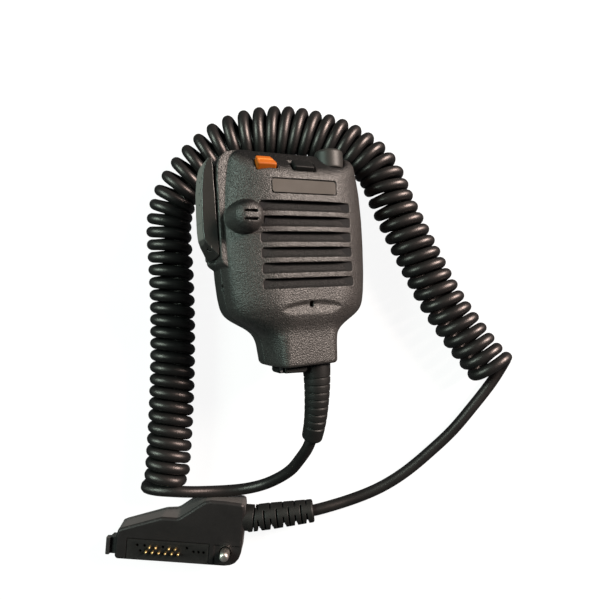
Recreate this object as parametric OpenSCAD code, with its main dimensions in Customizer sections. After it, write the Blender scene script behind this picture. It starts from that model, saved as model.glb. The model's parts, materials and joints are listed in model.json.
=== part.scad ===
// Hand-held speaker microphone with a curly cord and a flat multi-pin plug.
// The microphone lies on its back, rolled on to its belt clip and one rear
// edge; the cord and the plug lie on the same surface. Millimetres, +Z up.

/* [Case] */
// Half width of the case at its widest point
case_hw = 33; // [32:0.25:34]
// Thickness of the case from the front plateau to the back
case_depth = 34.5; // [33.5:0.25:35]
// Wall thickness of both case shells
wall = 2.2; // [1.8:0.1:2.4]
// Depth of the parting plane below the front plateau
split_z = 18; // [17.8:0.1:19]
// Half width of the flat front plateau
plateau_hw = 23.5; // [23:0.25:24.5]

/* [Grille] */
// Number of sound slots
slot_count = 6; // [4:1:6]
// Length of a sound slot
slot_len = 43; // [36:0.5:44]
// Height of a sound slot
slot_h = 3; // [2:0.1:3.4]
// Distance from one slot to the next
slot_pitch = 6.35; // [6:0.05:6.5]
// Outer diameter of the loudspeaker
speaker_d = 36; // [30:0.5:38]

/* [Talk key] */
// Width of the talk key across the thickness of the case
ptt_w = 12.5; // [10:0.25:13]
// Radius of the talk key's hinge pin
ptt_pin_r = 0.8; // [0.7:0.05:0.9]

/* [Controls] */
// Width of the orange button
orange_w = 8.4; // [7:0.1:9]
// Width of the black button
black_w = 9.2; // [8:0.1:9.6]
// Height of the orange button above the top slope
orange_rise = 1.7; // [1:0.1:2.2]
// Diameter of the volume knob
knob_d = 12.8; // [11:0.1:13]
// Height of the end of the volume knob on the Y axis
knob_end = 43.25; // [43:0.25:46]

/* [Earphone jack] */
// Radius of the jack's bore, for a 3.5 mm plug
jack_r = 1.8; // [1.77:0.01:1.85]
// Length of the jack's bore
jack_len = 12; // [10:0.5:13]

/* [Clip] */
// Width of the belt clip
clip_w = 18; // [16:0.5:18]
// Thickness of the clip's lever
clip_t = 2; // [1.6:0.1:2]
// Radius of the clip's swivel boss
swivel_r = 6.5; // [6:0.1:7]

/* [Cord] */
// Diameter of the cord
cord_d = 5.3; // [5:0.1:5.4]
// Outer diameter of the curly part
coil_d = 21.5; // [20:0.25:21.5]
// Height of the curly part, whose turns lie a little flattened
coil_h = 16.5; // [16:0.25:17]

/* [Plug] */
// Thickness of the plug
plug_t = 12.4; // [12.2:0.1:12.8]
// Diameter of a spring contact pin
pin_d = 1.1; // [0.9:0.05:1.2]
// Length of a contact pin above the contact block
pin_out = 2; // [1.5:0.1:2.4]
// Radius of the plug screw's free end
plug_screw_r = 2.3; // [2:0.1:2.3]

/* [Resting pose] */
// Roll of the microphone about its long axis, in degrees
roll = 25.4; // [25:0.1:25.8]

/* [Hidden] */
$fn = 48;

// Where the microphone's own origin sits: the middle of the front plateau.
front_h = 45.96;
shift_x = 6.2;
// Plan shift that puts the origin under the middle of the microphone.
site = [5.57, 21.9, 0];

// ---- case profile: half width, front, back against Y ----
k = case_hw / 33;
half_w = [[-50.5, 13.6], [-50, 14.6], [-49, 15.3], [-45, 15.8], [-41, 16.3], [-38, 17.2],
  [-36, 18.5], [-34, 21], [-32, 24.4], [-30, 27.5], [-28, 29.6], [-25, 31], [-20, 31.9],
  [-12, 32.6], [0, 33], [12, 33], [24, 32.3], [31, 31.3], [36, 30], [38.5, 28.4],
  [40, 26.4], [41, 23.6]];
plat_w = [[-50.5, 11.4], [-49, 12.2], [-37, 12.4], [-35, 13], [-33, 14.6], [-31, 16.8],
  [-29, 19.4], [-26, 22], [-22, 23.5], [31, 23.5]];
front_z = [[-50.5, -4.2], [-50, -3.2], [-49, -2.7], [-37, -2.7], [-35, -2.5], [-33, -1.8],
  [-31, -0.9], [-29, -0.3], [-27, 0], [31, 0], [32, -0.5], [40, -8.6], [41, -10.2]];
back_z = [[-50.5, -28.5], [-50, -29.6], [-49, -30.4], [-40, -31], [-35, -32.6], [-31, -34],
  [-27, -34.5], [38, -34.5], [40, -33.6], [41, -31.5]];
ys_case = [-50.5, -50, -49, -45, -41, -38, -36, -34, -32, -30, -28, -25, -20, -12, 0, 12,
  24, 31, 32, 34, 36, 38.5, 40, 41];

function hw(y) = lookup(y, half_w) * k;
function fz(y) = lookup(y, front_z);
function bz(y) = lookup(y, back_z) * case_depth / 34.5;
function pw(y) = y > 31 ? min(hw(y) - 1.4, plateau_hw - 0.85 * fz(y))
                        : lookup(y, plat_w) * plateau_hw / 23.5;
// Right half of one section, from the front middle round to the back middle,
// all walls moved in by d.
function half_sec(y, d) =
  let (w = hw(y) - d, f = fz(y) - d, b = bz(y) + d, p = min(pw(y) - 0.55 * d, w - 2.2),
       zr = min(-10, fz(y) - 2.2) - d, r = min(7 - 0.6 * d, w - 2))
  [[p - 0.9, f], [p + 0.5, f - 0.6], [w - 1.1, zr + 1], [w - 0.3, zr - 0.4],
   [w, zr - 2.5], [w + 0.5, -17], [w + 0.7, b + r],
   for (a = [22.5 : 22.5 : 90]) [w + 0.7 - r + r * cos(a), b + r - r * sin(a)]];
function sec(y, d) =
  let (h = half_sec(y, d), n = len(h))
  concat([for (q = h) [-q[0], y, q[1]]], [for (i = [n - 1 : -1 : 0]) [h[i][0], y, h[i][1]]]);
// Closed skin through a list of rings.
module skin(rings) {
  m = len(rings[0]); n = len(rings);
  polyhedron(points = [for (r = rings) each r],
    faces = concat(
      [for (i = [0 : n - 2]) for (j = [0 : m - 1]) let (a = i * m + j, b = i * m + (j + 1) % m)
        each [[a, b, a + m], [b, b + m, a + m]]],
      [[for (j = [m - 1 : -1 : 0]) j]], [[for (j = [0 : m - 1]) (n - 1) * m + j]]));
}
module case_body(d) {
  lo = ys_case[0] + d; hi = ys_case[len(ys_case) - 1] - d;
  ys = concat([lo], [for (y = ys_case) if (y > lo + 0.2 && y < hi - 0.2) y], [hi]);
  skin([for (y = ys) sec(y, d)]);
}

// ---- placing ----
module mic() translate(site) translate([0, 0, front_h]) rotate([0, roll, 0])
  translate([shift_x, 0, 0]) children();
module table() translate(site) children();
// On the top slope: x along the case, y down the slope, z out of it.
module slope(x) translate([x, 34.8, -3.3]) rotate([-45, 0, 0]) children();
module box(a, b) translate(a) cube(b - a);
// Flat bar with round ends along X.
module slot(x0, x1, y, h, z0, z1) {
  for (x = [x0 + h / 2, x1 - h / 2]) translate([x, y, z0]) cylinder(d = h, h = z1 - z0);
  box([x0 + h / 2, y - h / 2, z0], [x1 - h / 2, y + h / 2, z1]);
}

// ---- case ----
ptt_z0 = -11.5 - ptt_w;
ptt_z1 = -11.5;
hinge = [-37.4, 1];
plunger = [18, -14.5];
module ptt_frame() translate([0, 0, -27]) linear_extrude(17) polygon([[-28, -8.5], [-32, -8.3],
  [-35.4, -7], [-35.4, -5.4], [-35, -5], [-35, 28], [-34.6, 34], [-33.2, 37.6], [-30.6, 39.8],
  [-26, 40.8], [-20, 41], [-20, 36], [-28, 30]]);
// Ear that holds the hinge pin at the lower end of the talk key.
module ptt_ear() difference() {
  union() {
    translate([hinge[0], hinge[1], -17.2]) cylinder(r = 1.3, h = 3);
    box([hinge[0], hinge[1] - 1.3, -17.2], [-34, hinge[1] + 1.3, -14.2]);
  }
  translate([hinge[0], hinge[1], -20]) cylinder(r = ptt_pin_r, h = 8);
}
module outer() {
  case_body(0);
  ptt_frame();
}
module dome() translate([-25.8, 11.2, 0]) rotate_extrude()
  polygon([[0, -10], [7.2, -10], [6.9, -5], [6.6, -1.5], [6.1, 0.6], [5.1, 2.1], [3.8, 2.9], [0, 3.2]]);
module knob_axis() translate([17, 0, -10]) rotate([-90, 0, 0]) children();
screw_at = [[-24, -20], [24, -20], [-25, 26], [26, 19]];
relief_x = 6.2; relief_z = -12; jack_x = -7.4;
module seal_ring(g) difference() {
  case_body(0.7 - g);
  case_body(1.5 + g);
  box([-60, -60, -split_z + 0.6 + g], [60, 60, 20]);
  box([-60, -60, -60], [60, 60, -split_z - 0.6 - g]);
}
module case_cuts() {
  // talk key plunger and its seal seat
  translate([-40, plunger[0], plunger[1]]) rotate([0, 90, 0]) cylinder(r = 2, h = 14);
  translate([-36, plunger[0], plunger[1]]) rotate([0, 90, 0]) cylinder(r = 3.3, h = 1.6);
  // cord gland and jack barrel in the neck's end wall
  translate([relief_x, -52, relief_z]) rotate([-90, 0, 0]) cylinder(r = 4.4, h = 6);
  translate([jack_x, -52, relief_z]) rotate([-90, 0, 0]) cylinder(r = 3.55, h = 6);
}
module front_case() color("#34312e") mic() difference() {
  union() {
    difference() {
      union() { outer(); ptt_ear(); }
      case_body(wall);
      // sound slots
      for (i = [0 : slot_count - 1])
        slot(-slot_len / 2, slot_len / 2, 16 - i * slot_pitch, slot_h, -6, 2);
      // nameplate recess and rear port
      box([-15.4, 21.3, -0.6], [14.4, 27.2, 2]);
      box([-0.9, -25.6, -6], [0.9, -23.3, 2]);
    }
    intersection() { dome(); union() { case_body(0); box([-40, 0, -9], [-15, 20, 10]); } }
    // screw posts
    intersection() {
      case_body(0.6);
      for (p = screw_at) translate([p[0], p[1], -split_z - 0.5]) cylinder(r = 3, h = split_z - 3.5);
    }
    // collar behind the volume knob
    box([8.6, 32, -split_z - 0.4], [25.4, 36.5, -6]);
  }
  box([-80, -80, -60], [80, 80, -split_z]);
  seal_ring(0.05);
  case_cuts();
  for (p = screw_at) translate([p[0], p[1], -30]) cylinder(r = 1.56, h = 21);
  // microphone pocket and its two slits
  translate([-25.8, 11.2, -12]) cylinder(r = 4, h = 12.8);
  for (y = [9.4, 13]) box([-28.4, y - 0.5, 0], [-23.2, y + 0.5, 6]);
  // openings of the two buttons on the top slope
  slope(-16.4) hull() for (x = [-1, 1]) translate([x * (orange_w / 2 - 0.8), 0, -8])
    for (y = [-3, 0.6]) translate([0, y, 0]) cylinder(r = 1.2, h = 14, $fn = 32);
  slope(0.2) hull() for (x = [-1, 1]) translate([x * (black_w / 2 - 0.8), 0, -8])
    for (y = [-3, 0.8]) translate([0, y, 0]) cylinder(r = 1.2, h = 14, $fn = 32);
  slope(0.2) box([-5.7, -4.6, -0.9], [5.7, 2.6, 6]);
  // knob pocket and shaft hole
  knob_axis() translate([0, 0, 34.4]) cylinder(r = knob_d / 2 + 0.4, h = 20);
  knob_axis() translate([0, 0, 28]) cylinder(r = 3.3, h = 10);
}
module rear_case() color("#2c2a28") mic() difference() {
  union() {
    difference() {
      outer();
      case_body(wall);
    }
    // screw posts
    intersection() {
      case_body(0.5);
      for (p = screw_at) translate([p[0], p[1], -40]) cylinder(r = 3.6, h = 40 - split_z - 0.2);
    }
  }
  box([-80, -80, -split_z], [80, 80, 60]);
  seal_ring(0.05);
  case_cuts();
  for (p = screw_at) translate([p[0], p[1], -50]) {
    cylinder(r = 1.6, h = 40);
    cylinder(r = 2.8, h = 18.5);
  }
  translate([0, 10, -40]) cylinder(r = 1.6, h = 10);
  // small slit on the talk key side
  box([-36, -17.4, -20.4], [-32.8, -14.6, -19.6]);
}
module case_seal() color("#191919") mic() seal_ring(0);
module nameplate() color("#5b5146") mic() difference() {
  box([-15.1, 21.6, -0.58], [14.1, 26.9, -0.1]);
  for (x = [-15.1, 14.1]) for (y = [21.6, 26.9]) translate([x, y, -2]) rotate([0, 0, 45]) cube([1, 1, 6], center = true);
}
module grille_cloth() color("#1d1d1f") mic() difference() {
  box([-21.7, -18.5, -2.8], [21.7, 19.5, -2.4]);
  translate([-25.8, 11.2, -5]) cylinder(r = 7.5, h = 5);
}

// ---- inside ----
module speaker_at() translate([0, 0.5, 0]) children();
module speaker_basket() color("#6d6d70") mic() speaker_at() rotate_extrude() polygon([
  [speaker_d / 2, -2.9], [speaker_d / 2, -4.4], [speaker_d / 2 - 2, -5], [11, -10.4], [8.4, -10.4], [8.4, -9.4],
  [10.4, -9.4], [speaker_d / 2 - 2.6, -4.2], [speaker_d / 2 - 2.6, -2.9]]);
module speaker_cone() color("#202124") mic() speaker_at() rotate_extrude() polygon([
  [0, -5.4], [4, -6.2], [5, -7.6], [speaker_d / 2 - 4.4, -4], [speaker_d / 2 - 2.75, -3.4],
  [speaker_d / 2 - 2.75, -3], [speaker_d / 2 - 4.6, -3.5], [5, -7], [4, -5.8], [0, -5]]);
module speaker_magnet() color("#4b4b4e") mic() speaker_at() {
  translate([0, 0, -15.6]) cylinder(r = 10, h = 5.1);
  translate([0, 0, -10.6]) cylinder(r = 4, h = 2.6);
}
module mic_capsule() color("silver") mic() translate([-25.8, 11.2, -2.6]) cylinder(r = 3, h = 3);
module mic_boot() color("#161616") mic() translate([-25.8, 11.2, -4]) difference() {
  cylinder(r = 3.95, h = 4.6);
  translate([0, 0, 1.35]) cylinder(r = 3.05, h = 6);
  translate([0, 0, -1]) cylinder(r = 1.2, h = 4);
}
module circuit_board() color("#1f5b36") mic() difference() {
  box([-26, -27, -19.4], [25, 29, -17.8]);
  for (p = screw_at) translate([p[0], p[1], -24]) cylinder(r = 4.2, h = 12);
}
module case_screws() color("#3a3a3c") mic() for (p = screw_at) translate([p[0], p[1], 0]) {
  translate([0, 0, -31.5]) cylinder(r = 1.5, h = 21.6);
  difference() {
    translate([0, 0, -33.3]) cylinder(r = 2.6, h = 1.8);
    for (a = [0, 90]) rotate([0, 0, a]) box([-1.6, -0.35, -34], [1.6, 0.35, -32.4]);
  }
}

// ---- talk key ----
module ptt_paddle() color("#494845") mic() difference() {
  union() {
    translate([0, 0, ptt_z0]) linear_extrude(ptt_w) polygon([[-36.1, 37.6], [-37.4, 37.2], [-38.8, 35],
      [-40, 31], [-40.8, 24], [-41.1, 15], [-41.1, 8], [-40.5, 3.6], [-39.2, 0], [-37.9, -3.4], [-37.2, -4.3], [-36.6, -4.3], [-36.1, -3.4]]);
    translate([-36.4, plunger[0], plunger[1]]) rotate([0, 90, 0]) cylinder(r = 1.5, h = 6.2);
  }
  // pin bore, and room for the ear
  translate([hinge[0], hinge[1], -20.4]) cylinder(r = ptt_pin_r + 0.05, h = 8.4);
  translate([hinge[0], hinge[1], -17.5]) cylinder(r = 1.6, h = 3.6);
  box([hinge[0], hinge[1] - 1.6, -17.5], [-34, hinge[1] + 1.6, -13.9]);
  // thumb dimples
  for (i = [0 : 2]) for (s = [0, 1]) translate([-41.5, 29 - i * 4.7 - s * 1.2, -14.4 - s * 2.6])
    rotate([0, 90, 0]) cylinder(r = 0.4, h = 1);
}
module ptt_pin() color("silver") mic() translate([hinge[0], hinge[1], -20.2])
  cylinder(r = ptt_pin_r, h = 8);
module ptt_seal() color("#141414") mic() translate([-35.1, plunger[0], plunger[1]]) rotate([0, 90, 0]) difference() {
  cylinder(r = 3.2, h = 0.65);
  translate([0, 0, -1]) cylinder(r = 2, h = 3);
}
module ptt_switch() color("#222222") mic() {
  box([-28.6, 13.6, -18.6], [-26.1, 22.4, -10.6]);
  translate([-29.4, plunger[0], plunger[1]]) rotate([0, 90, 0]) cylinder(r = 1.2, h = 0.8);
}

// ---- top controls ----
module button(w, y0, y1, top) {
  hull() for (x = [-1, 1]) for (y = [y0 + 1, y1 - 1]) translate([x * (w / 2 - 1), y, -2.9])
    cylinder(r1 = 1, r2 = 0.8, h = top + 2.9, $fn = 32);
  box([-w / 2 - 0.9, y0 - 0.2, -4], [w / 2 + 0.9, y1 + 0.6, -2.9]);
  translate([0, 0, -5.4]) cylinder(r = 1.2, h = 1.6);
}
module orange_button() color("#d9822b") mic() slope(-16.4) button(orange_w, -3.8, 1.4, orange_rise);
module black_button() color("#1c1c1c") mic() slope(0.2) button(black_w, -3.8, 1.6, 0.9);
module button_switches() color("#2a2a2a") mic() {
  slope(-16.4) box([-3, -2.2, -9.6], [3, 2.2, -6.6]);
  slope(0.2) box([-3, -2.2, -9.6], [3, 2.2, -6.6]);
}
module volume_knob() color("#3b3936") mic() knob_axis() difference() {
  translate([0, 0, 34.8]) rotate_extrude() polygon([[0, 0], [knob_d / 2 - 0.5, 0], [knob_d / 2, 0.5],
    [knob_d / 2, knob_end - 36.2], [knob_d / 2 - 0.5, knob_end - 35.2], [knob_d / 2 - 1.6, knob_end - 34.8], [0, knob_end - 34.8]]);
  translate([0, 0, 30]) cylinder(r = 3, h = knob_end - 33);
}
module knob_shaft() color("silver") mic() knob_axis() translate([0, 0, 26.2]) cylinder(r = 2.95, h = knob_end - 29.6);
module volume_pot() color("#6b6f73") mic() knob_axis() difference() {
  translate([0, 0, 21]) cylinder(r = 6.6, h = 8.6);
  translate([0, 0, 26]) cylinder(r = 3, h = 8);
}

// ---- earphone jack ----
module jack_socket() color("#18181a") mic() translate([jack_x, 0, relief_z]) rotate([90, 0, 0]) difference() {
  translate([0, 0, 37]) cylinder(r = 3.5, h = 13.4);
  translate([0, 0, 50.4 - jack_len]) cylinder(r = jack_r, h = jack_len + 1);
}
cap_pin = [-12.6, -51.9];
module jack_cap() color("#232323") mic() difference() {
  union() {
    translate([0, 0, relief_z - 5]) linear_extrude(10) polygon([[-12.6, -53], [-2, -53.6], [-0.6, -52.6],
      [-0.6, -51.4], [-1.2, -50.8], [-12.6, -50.8]]);
    translate([cap_pin[0], cap_pin[1], relief_z - 5]) cylinder(r = 1.1, h = 10);
  }
  translate([cap_pin[0], cap_pin[1], -40]) cylinder(r = 0.65, h = 60);
  for (z = [relief_z - 6, relief_z + 3.2]) box([-16, -54, z], [-11, -50, z + 2.8]);
}
module jack_cap_pin() color("silver") mic() {
  translate([cap_pin[0], cap_pin[1], relief_z - 4.8]) cylinder(r = 0.6, h = 9.6);
  for (z = [relief_z - 4.8, relief_z + 3.5]) box([-13.1, -51.9, z], [-12.1, -48.8, z + 1.3]);
}

// ---- belt clip ----
clip_pin_at = [22, -39];
lever_a = -4.53;
module clip_boss() color("#2a2a2a") mic() translate([0, 10, 0]) difference() {
  union() {
    translate([0, 0, -37.4]) cylinder(r = swivel_r, h = 2.9);
    translate([0, 0, -38.3]) cylinder(r = swivel_r + 1.5, h = 0.95);
  }
  translate([0, 0, -45]) cylinder(r = 1.6, h = 20);
}
module clip_screw() color("#77797c") mic() translate([0, 10, 0]) {
  translate([0, 0, -38.4]) cylinder(r = 1.5, h = 8);
  difference() {
    translate([0, 0, -39.4]) cylinder(r = 3, h = 1.1);
    box([-2, -0.4, -40], [2, 0.4, -39]);
  }
}
module clip_base() color("#242424") mic() difference() {
  union() {
    box([-clip_w / 2, -25, -37], [clip_w / 2, 30, -35]);
    translate([0, 10, -37]) cylinder(r = 11, h = 2);
    for (s = [-1, 1]) {
      translate([s * (clip_w / 2 - 1.2) - 1.2, clip_pin_at[0], clip_pin_at[1]]) rotate([0, 90, 0]) cylinder(r = 1.8, h = 2.4);
      box([s * (clip_w / 2 - 1.2) - 1.2, clip_pin_at[0] - 1.8, clip_pin_at[1]], [s * (clip_w / 2 - 1.2) + 1.2, clip_pin_at[0] + 1.8, -36]);
    }
  }
  translate([0, 10, -45]) cylinder(r = swivel_r + 0.06, h = 12);
  translate([-20, clip_pin_at[0], clip_pin_at[1]]) rotate([0, 90, 0]) cylinder(r = 1, h = 40);
}
module clip_lever() color("#2b2b2b") mic() difference() {
  union() {
    translate([0, clip_pin_at[0], clip_pin_at[1]]) rotate([lever_a, 0, 0]) {
      // plate with chamfered back edges, its tip bent in to the base
      translate([0, 12, -2.2]) rotate([90, 0, 0]) linear_extrude(60) polygon([[-clip_w / 2, 0], [clip_w / 2, 0],
        [clip_w / 2, -clip_t / 2], [clip_w / 2 - 1, -clip_t], [1 - clip_w / 2, -clip_t], [-clip_w / 2, -clip_t / 2]]);
      for (s = [-1, 1]) {
        translate([s * 4.6 - 1.4, 0, 0]) rotate([0, 90, 0]) cylinder(r = 1.7, h = 2.8);
        box([s * 4.6 - 1.4, -1.7, -2.6], [s * 4.6 + 1.4, 1.7, 0]);
      }
    }
  }
  translate([-20, clip_pin_at[0], clip_pin_at[1]]) rotate([0, 90, 0]) cylinder(r = 1.05, h = 40);
}
module clip_pin() color("silver") mic() translate([-clip_w / 2 + 0.1, clip_pin_at[0], clip_pin_at[1]])
  rotate([0, 90, 0]) cylinder(r = 1, h = clip_w - 0.2);
module clip_spring() color("#8a8c90") mic() translate([0, clip_pin_at[0], clip_pin_at[1]]) {
  rotate([0, 90, 0]) difference() {
    translate([0, 0, -2.9]) cylinder(r = 1.65, h = 5.8);
    translate([0, 0, -4]) cylinder(r = 1.12, h = 8);
  }
  translate([2.3, 0, 1.35]) rotate([-90, 0, 0]) cylinder(r = 0.3, h = 6);
}

// ---- cord ----
cr = cord_d / 2;
function unit(v) = v / norm(v);
function tang(p, i) = unit(p[min(i + 1, len(p) - 1)] - p[max(i - 1, 0)]);
function ring(c, t, r, n, rv) =
  let (s = unit(cross(t, [0, 0, 1])), u = cross(s, t))
  [for (j = [0 : n - 1]) let (a = j * 360 / n - 90) c + r * cos(a) * s + rv * sin(a) * u];
module tube(p, r, n) skin([for (i = [0 : len(p) - 1]) ring(p[i], tang(p, i), r, n, r)]);
module tube_part(p, r, rv, n, i0, i1) skin([for (i = [i0 : i1]) ring(p[i], tang(p, i), r, n, rv)]);

// Centre line of the gland that leads the cord out of the neck.
relief_path = [[6, -50.5, 29.8], [6, -56, 29.8], [5.8, -62, 29.5], [5.3, -68, 29],
  [4.6, -74, 28.2], [3.5, -80, 27.1], [2.1, -85.5, 25.7]];
// From the gland down to the surface and into the first turn.
lead_mic = [[2.5, -84, 26.1], [0.3, -89.5, 24.4], [-3.5, -95.7, 20.8], [-8, -102, 16.2], [-14.5, -107.4, 11.6],
  [-22, -111.4, 7.6], [-31, -114, 5.4], [-41, -114.5, 5.2], [-52, -113.5, 7.8], [-60, -112, 10.4], [-66.5, -111, 11.4]];
// Middle of the curly part, laid in an arch round the microphone.
cz = coil_h / 2;
coil_path = [[-69.5, -111, cz], [-68, -100, cz], [-66, -84, cz], [-64, -65, cz], [-62.5, -46, cz], [-61.5, -28, cz],
  [-61, -10, cz], [-61, 6, cz], [-60.3, 20, cz], [-56.5, 31, cz], [-50, 40.5, cz], [-42, 48.5, cz], [-32, 55.5, cz],
  [-20, 59.5, cz], [-7, 60.6, cz], [6, 58.8, cz], [18, 55, cz], [29, 49.5, cz], [37.5, 42.5, cz], [42.5, 35.5, cz],
  [45.2, 28, cz], [49, 17.5, cz], [54.5, 4.5, cz], [61, -10.5, cz], [69, -27.5, cz], [78, -42.5, cz], [86.5, -55, cz], [93.5, -64.5, cz]];
// From the last turn back along the surface to the plug.
lead_plug = [[95.5, -62, 3.6], [95, -66.5, 2.7], [90, -72.8, 2.7], [82, -82, 2.7], [73, -91.5, 2.7], [62, -101, 2.7],
  [49, -110.7, 2.7], [35, -118.4, 2.7], [22, -122.8, 3.2], [11, -124.9, 5], [4.5, -125.9, 6], [0.5, -126.5, 6.2], [-5, -126.9, 6.2]];

module mic_strain_relief() color("#2e2d2b") {
  table() skin([for (i = [0 : len(relief_path) - 1])
    ring(relief_path[i], i == 0 ? [0, -1, 0] : tang(relief_path, i), 6.25 - 1.65 * i / 6, 16, 6.25 - 1.65 * i / 6)]);
  mic() translate([relief_x, -50.6, relief_z]) rotate([-90, 0, 0]) {
    cylinder(r = 4.3, h = 4.6);
    translate([0, 0, 2.5]) cylinder(r = 5.6, h = 1.6);
  }
}
module cord_lead_mic() color("#1d1e20") table() tube(lead_mic, cr, 10);
module cord_coil_left() color("#1d1e20") table() tube_part(coil_path, coil_d / 2, cz, 12, 0, 8);
module cord_coil_top() color("#1d1e20") table() tube_part(coil_path, coil_d / 2, cz, 12, 8, 19);
module cord_coil_right() color("#1d1e20") table() tube_part(coil_path, coil_d / 2, cz, 12, 19, 27);
module cord_lead_plug() color("#1d1e20") table() tube(lead_plug, cr, 10);

// ---- plug ----
module plug() table() translate([-64, -133, 0]) rotate([0, 0, -7.5]) children();
relief_z_plug = 6.2;
module plug_relief_at() translate([28.5, 7.85, relief_z_plug]) rotate([0, 0, 11.5]) rotate([0, 90, 0]) children();
module plug_outline(d) offset(delta = -d) polygon([[-30.5, -11.4], [-29.2, -12.85], [22.6, -12.6], [25.4, -12.1], [27.6, -11],
  [29.3, -8.8], [30.2, -6], [30.6, 3], [30.7, 15], [30.2, 17], [29, 17.8], [21, 18.2], [13, 18.2], [10, 17.6], [8.4, 16.6],
  [3.2, 12.7], [-1.6, 9.3], [-2.8, 8.8], [-9.2, 8.7], [-28.4, 2], [-29.8, 0.9], [-30.5, -1.7]]);
plug_screw_at = [22.6, -6.2];
cover_screw_at = [[-27, -4.8], [24.6, 12.6]];
module plug_strain_relief() color("#232425") plug() {
  // collar against the shell, then a core with ribs between notches
  translate([28.4, 9.2, relief_z_plug]) rotate([0, 90, 0]) cylinder(r = 6.1, h = 6.3);
  plug_relief_at() {
    translate([0, 0, 3]) cylinder(r1 = 5, r2 = 4.4, h = 32.8);
    translate([0, 0, 6.6]) cylinder(r = 6.1, h = 1.6);
    for (i = [0 : 4]) translate([0, 0, 9.7 + i * 5.95]) cylinder(r1 = 6.05 - i * 0.18, r2 = 5.95 - i * 0.18, h = i == 4 ? 2.4 : 4.5);
  }
}
module plug_body() color("#1f2022") plug() difference() {
  translate([0, 0, 3]) linear_extrude(plug_t - 3) plug_outline(0);
  // seat of the contact block, notch round the screw, hollow for the wires
  box([-24.6, -12, 6], [14.7, -2.4, 20]);
  box([17.2, -20, plug_t - 0.6], [40, -2.4, 20]);
  translate([plug_screw_at[0], plug_screw_at[1], 0]) cylinder(r = plug_screw_r + 0.5, h = 20);
  box([-20, -1, 2], [16, 3, 9]);
  for (p = cover_screw_at) translate([p[0], p[1], 0]) cylinder(r = 1.05, h = 8);
  plug_relief_at() translate([0, 0, -2]) cylinder(r = 3.4, h = 3);
}
module plug_cover() color("#1a1b1c") plug() difference() {
  linear_extrude(3) plug_outline(0);
  translate([plug_screw_at[0], plug_screw_at[1], -1]) cylinder(r = 5.4, h = 6);
  for (p = cover_screw_at) translate([p[0], p[1], -1]) {
    cylinder(r = 1.1, h = 6);
    cylinder(r = 2.1, h = 2.4);
  }
}
module cover_screws() color("#55575a") plug() for (p = cover_screw_at) translate([p[0], p[1], 0]) {
  translate([0, 0, 1.3]) cylinder(r = 1, h = 6);
  translate([0, 0, 0.2]) cylinder(r = 1.95, h = 1.15);
}
// six contacts in the lower row, four in the upper one with an empty place in its middle
pin_pitch = 3.1;
module pin_spots() {
  for (i = [0 : 5]) translate([-15 + i * pin_pitch, -7.6, 0]) children();
  for (i = [0, 1, 3, 4]) translate([-13.45 + i * pin_pitch, -5.3, 0]) children();
}
module plug_contact_block() color("#141517") plug() difference() {
  box([-24.5, -11.9, 6], [14.6, -2.5, plug_t + 0.2]);
  pin_spots() translate([0, 0, 7]) cylinder(d = pin_d + 0.12, h = 20);
  for (p = [[-19.6, -5.1], [-16.1, -5.1], [-18, -7.7], [-7.25, -5.2], [4.2, -4.9], [7.5, -6.4], [9.9, -6.4], [12.3, -6.4]])
    translate([p[0], p[1], plug_t - 1.3]) cylinder(r = 0.7, h = 6, $fn = 24);
}
module plug_pins() color("#c9a24a") plug() pin_spots() translate([0, 0, 8]) {
  cylinder(d = pin_d, h = plug_t - 7.8 + pin_out - 0.4);
  translate([0, 0, plug_t - 7.8 + pin_out - 0.4]) cylinder(d1 = pin_d, d2 = pin_d * 0.5, h = 0.4, $fn = 24);
}
module plug_hook() color("#202123") plug() translate([0, -4.4, 0]) rotate([90, 0, 0]) linear_extrude(8)
  polygon([[-30.5, 3.6], [-30.5, 8], [-33.9, 8], [-34.2, 9.4], [-35.6, 9.4], [-36, 8.8], [-36, 6.6], [-34.4, 6.2], [-34, 3.6]]);
module plug_screw() color("#b9bcc0") plug() translate([plug_screw_at[0], plug_screw_at[1], 0]) {
  difference() {
    translate([0, 0, 0.3]) cylinder(r = 5, h = 2.4);
    box([-6, -0.6, 0], [6, 0.6, 1.4]);
  }
  translate([0, 0, 2.5]) cylinder(r = plug_screw_r - 0.5, h = plug_t - 2);
  translate([0, 0, plug_t + 0.4]) cylinder(r = plug_screw_r, h = 3.4);
  translate([0, 0, plug_t + 3.7]) cylinder(r1 = plug_screw_r, r2 = plug_screw_r - 0.6, h = 0.6);
}

front_case();
rear_case();
case_seal();
nameplate();
grille_cloth();
speaker_basket();
speaker_cone();
speaker_magnet();
mic_capsule();
mic_boot();
circuit_board();
case_screws();
ptt_paddle();
ptt_pin();
ptt_seal();
ptt_switch();
orange_button();
black_button();
button_switches();
volume_knob();
knob_shaft();
volume_pot();
jack_socket();
jack_cap();
jack_cap_pin();
clip_boss();
clip_screw();
clip_base();
clip_lever();
clip_pin();
clip_spring();
mic_strain_relief();
cord_lead_mic();
cord_coil_left();
cord_coil_top();
cord_coil_right();
cord_lead_plug();
plug_strain_relief();
plug_body();
plug_cover();
cover_screws();
plug_contact_block();
plug_pins();
plug_hook();
plug_screw();
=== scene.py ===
import json
import math
import bpy
import numpy as np
from mathutils import Matrix, Vector


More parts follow.
